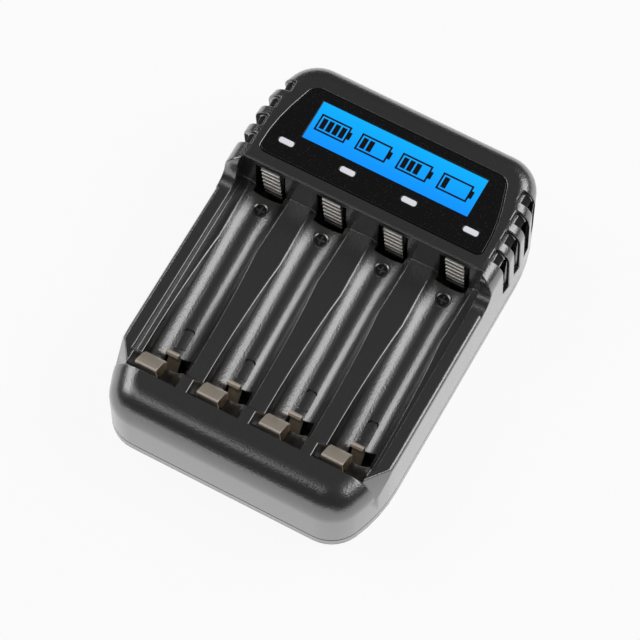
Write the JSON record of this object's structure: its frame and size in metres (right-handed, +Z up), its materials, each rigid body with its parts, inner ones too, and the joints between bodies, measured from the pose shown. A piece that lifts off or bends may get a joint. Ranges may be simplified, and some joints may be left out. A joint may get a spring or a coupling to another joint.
{
  "type": "battery charger",
  "caption": "Desk charger with side-by-side bays for AA and AAA cells, leaf contacts and a raised block with a backlit display.",
  "frame": {"origin": "centre of the underside, on the plane it rests on", "axes": "+Z up, +Y towards the display block along the cells, +X to the right when the display is far from the viewer"},
  "size_m": [0.0698, 0.0978, 0.0265],
  "materials": {
    "housing_black": "moulded black plastic, satin, very finely textured",
    "lens_smoke": "smoked black plastic, polished, with fine speckles",
    "display_glass": "backlit blue glass cell under a clear cover",
    "white_plastic": "white moulded plastic",
    "guide_clear": "clear milky plastic, polished ends",
    "connector_rubber": "layered rubber strip",
    "board_green": "green circuit board laminate",
    "link_ribbon": "flat white ribbon",
    "contact_nickel": "nickel-plated spring strip with a warm tint",
    "inlet_steel": "bright plated sheet metal",
    "chip_black": "black moulded epoxy",
    "coil_ferrite": "dark grey ferrite",
    "capacitor_can": "bare can",
    "screw_steel": "zinc-plated"
  },
  "bodies": {
    "charger": {"upper_housing": "housing_black", "lower_housing": "housing_black", "display_lens": "lens_smoke", "lcd_panel": "display_glass", "lcd_backlight": "white_plastic", "lcd_connector": "connector_rubber", "display_board": "board_green", "main_board": "board_green", "board_link": "link_ribbon", "light_guide_1": "guide_clear", "lamp_1": "white_plastic", "positive_contact_1": "contact_nickel", "charge_coil_1": "coil_ferrite", "charge_transistor_1": "chip_black", "light_guide_2": "guide_clear", "lamp_2": "white_plastic", "positive_contact_2": "contact_nickel", "charge_coil_2": "coil_ferrite", "charge_transistor_2": "chip_black", "light_guide_3": "guide_clear", "lamp_3": "white_plastic", "positive_contact_3": "contact_nickel", "charge_coil_3": "coil_ferrite", "charge_transistor_3": "chip_black", "light_guide_4": "guide_clear", "lamp_4": "white_plastic", "positive_contact_4": "contact_nickel", "charge_coil_4": "coil_ferrite", "charge_transistor_4": "chip_black", "power_inlet": "inlet_steel", "charge_controller": "chip_black", "supply_capacitor_1": "capacitor_can", "supply_capacitor_2": "capacitor_can", "housing_screws": "screw_steel", "board_screws": "screw_steel"},
    "aa_contact_1": {"aa_negative_contact_1": "contact_nickel"},
    "aaa_contact_1": {"aaa_negative_contact_1": "contact_nickel"},
    "aa_contact_2": {"aa_negative_contact_2": "contact_nickel"},
    "aaa_contact_2": {"aaa_negative_contact_2": "contact_nickel"},
    "aa_contact_3": {"aa_negative_contact_3": "contact_nickel"},
    "aaa_contact_3": {"aaa_negative_contact_3": "contact_nickel"},
    "aa_contact_4": {"aa_negative_contact_4": "contact_nickel"},
    "aaa_contact_4": {"aaa_negative_contact_4": "contact_nickel"}
  },
  "joints": [
    {"name": "aa_contact_1_flex", "type": "hinge", "parent": "charger", "child": "aa_contact_1", "pos_m": [-0.02605, -0.0356, 0.0049], "axis": [1, 0, 0], "range_deg": [0, 3.5], "stiffness_Nm_per_rad": 0.08},
    {"name": "aaa_contact_1_flex", "type": "hinge", "parent": "charger", "child": "aaa_contact_1", "pos_m": [-0.024, -0.0297, 0.0049], "axis": [1, 0, 0], "range_deg": [0, 8], "stiffness_Nm_per_rad": 0.04},
    {"name": "aa_contact_2_flex", "type": "hinge", "parent": "charger", "child": "aa_contact_2", "pos_m": [-0.01005, -0.0356, 0.0049], "axis": [1, 0, 0], "range_deg": [0, 3.5], "stiffness_Nm_per_rad": 0.08},
    {"name": "aaa_contact_2_flex", "type": "hinge", "parent": "charger", "child": "aaa_contact_2", "pos_m": [-0.008, -0.0297, 0.0049], "axis": [1, 0, 0], "range_deg": [0, 8], "stiffness_Nm_per_rad": 0.04},
    {"name": "aa_contact_3_flex", "type": "hinge", "parent": "charger", "child": "aa_contact_3", "pos_m": [0.00595, -0.0356, 0.0049], "axis": [1, 0, 0], "range_deg": [0, 3.5], "stiffness_Nm_per_rad": 0.08},
    {"name": "aaa_contact_3_flex", "type": "hinge", "parent": "charger", "child": "aaa_contact_3", "pos_m": [0.008, -0.0297, 0.0049], "axis": [1, 0, 0], "range_deg": [0, 8], "stiffness_Nm_per_rad": 0.04},
    {"name": "aa_contact_4_flex", "type": "hinge", "parent": "charger", "child": "aa_contact_4", "pos_m": [0.02195, -0.0356, 0.0049], "axis": [1, 0, 0], "range_deg": [0, 3.5], "stiffness_Nm_per_rad": 0.08},
    {"name": "aaa_contact_4_flex", "type": "hinge", "parent": "charger", "child": "aaa_contact_4", "pos_m": [0.024, -0.0297, 0.0049], "axis": [1, 0, 0], "range_deg": [0, 8], "stiffness_Nm_per_rad": 0.04}
  ]
}
